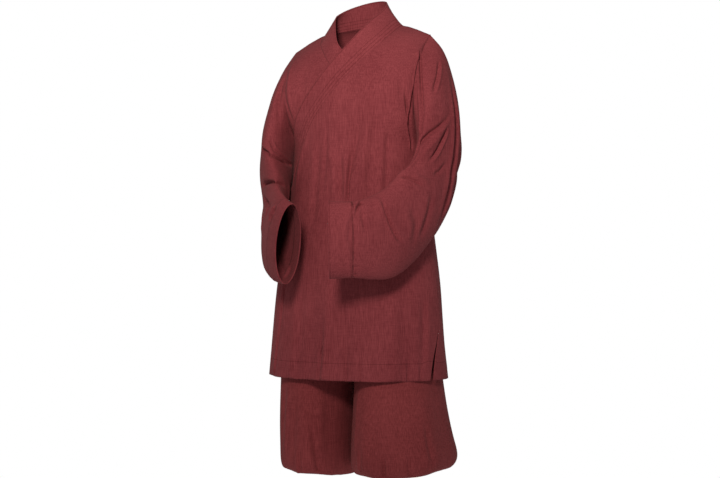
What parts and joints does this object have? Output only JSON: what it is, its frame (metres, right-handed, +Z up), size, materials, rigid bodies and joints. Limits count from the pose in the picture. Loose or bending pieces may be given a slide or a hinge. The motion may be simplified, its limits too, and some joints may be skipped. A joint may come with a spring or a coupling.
{
  "type": "monk uniform",
  "caption": "Monk's uniform of a crossed-over wide-sleeved jacket and full gathered trousers, in its worn hollow form with the forearms brought forward.",
  "frame": {"origin": "midway between the shoulders at the base of the neck, where the wearer carries the uniform", "axes": "+Z up, -Y out of the wearer's chest, +X to the wearer's left"},
  "size_m": [0.537, 0.4773, 1.1872],
  "materials": {
    "jacket": "matt maroon cloth with a fine slubbed weave",
    "band": "the same cloth doubled and stitched",
    "trousers": "matt maroon cloth with a fine slubbed weave"
  },
  "bodies": {
    "root": {"jacket_front_left": "jacket", "jacket_front_right": "jacket", "jacket_back": "jacket", "sleeve_left": "jacket", "sleeve_right": "jacket", "sleeve_cuff_left": "band", "sleeve_cuff_right": "band", "collar_band": "band", "waistband": "band", "trouser_leg_left": "trousers", "trouser_leg_right": "trousers", "trouser_cuff_left": "band", "trouser_cuff_right": "band"}
  },
  "joints": []
}
